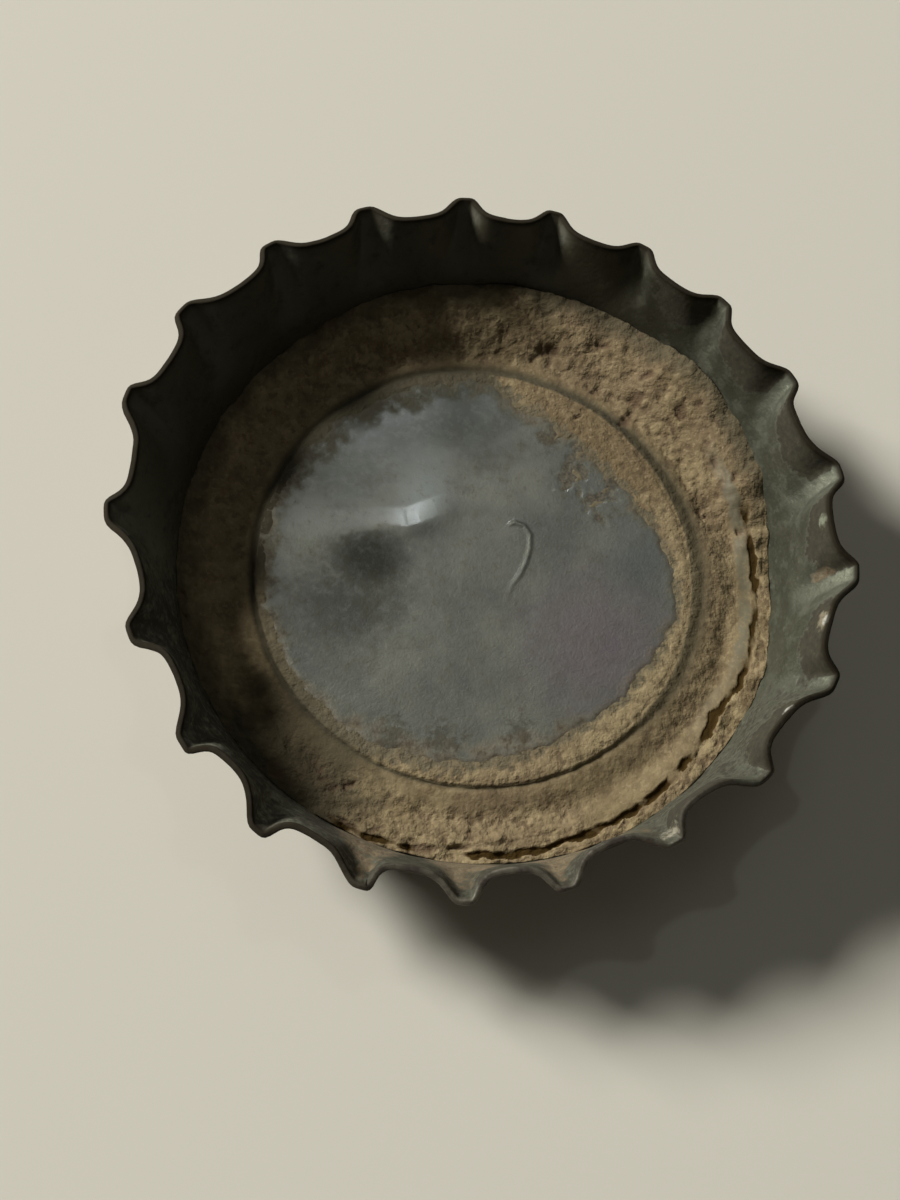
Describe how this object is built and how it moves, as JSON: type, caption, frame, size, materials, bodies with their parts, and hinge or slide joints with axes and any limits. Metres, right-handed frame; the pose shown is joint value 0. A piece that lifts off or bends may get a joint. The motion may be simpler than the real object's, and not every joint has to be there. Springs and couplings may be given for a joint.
{
  "type": "crown bottle cap",
  "caption": "Used crown cap of fluted tinplate, open side up, with a cork liner that keeps a bottle's print and a worn film spot in its middle.",
  "frame": {"origin": "centre of the flat top's outer face, which the cap lies on", "axes": "+Z out of the open side; the first tooth points close to +Y"},
  "size_m": [0.0321, 0.0322, 0.0073],
  "materials": {
    "tinplate": "dull lacquered tinplate, stained and scuffed to bare metal on some folds",
    "cork": "old agglomerated cork, granular and pitted",
    "spot_film": "thin worn film, glossy where it is whole"
  },
  "bodies": {
    "root": {"shell": "tinplate", "cork_liner": "cork", "centre_spot": "spot_film"}
  },
  "joints": []
}
